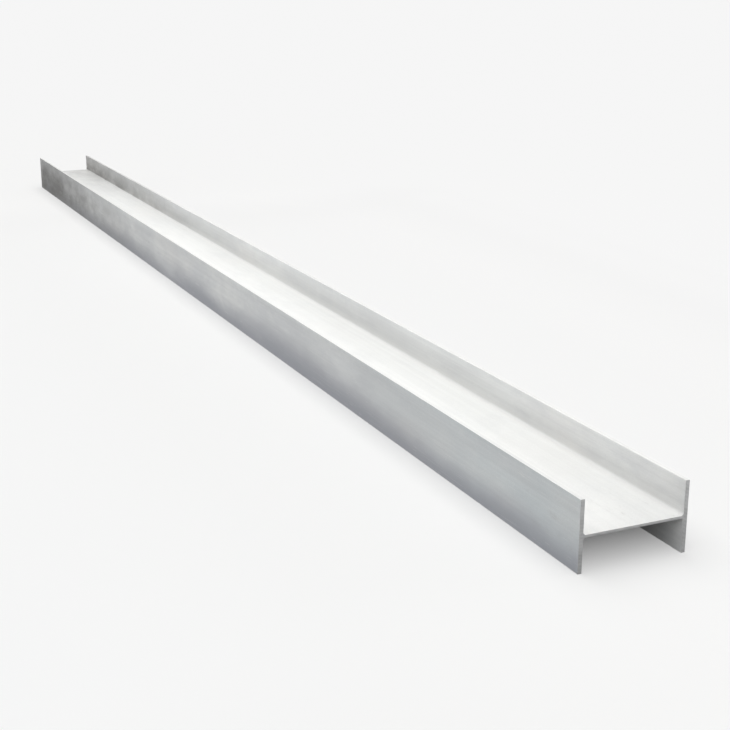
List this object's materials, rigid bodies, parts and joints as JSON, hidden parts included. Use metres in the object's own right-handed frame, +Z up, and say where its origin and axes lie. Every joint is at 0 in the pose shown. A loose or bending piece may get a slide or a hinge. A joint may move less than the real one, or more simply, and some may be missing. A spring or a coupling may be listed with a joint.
{
  "type": "steel h-beam",
  "caption": "Rolled steel H-beam: wide parallel flanges joined by a thin level web with rounded roots, saw-cut square at both ends, lying on its flange toes.",
  "frame": {"origin": "on the floor under the middle of the beam, at the centre of the rectangle it covers", "axes": "+Y along the beam towards its far end, +X across the section towards the right flange as seen from the near end, +Z up, square to the web"},
  "size_m": [0.488, 10, 0.3],
  "materials": {
    "steel": "pale grey rolled steel, semi-gloss, faintly streaked along its length"
  },
  "bodies": {
    "root": {"h_beam": "steel"}
  },
  "joints": []
}
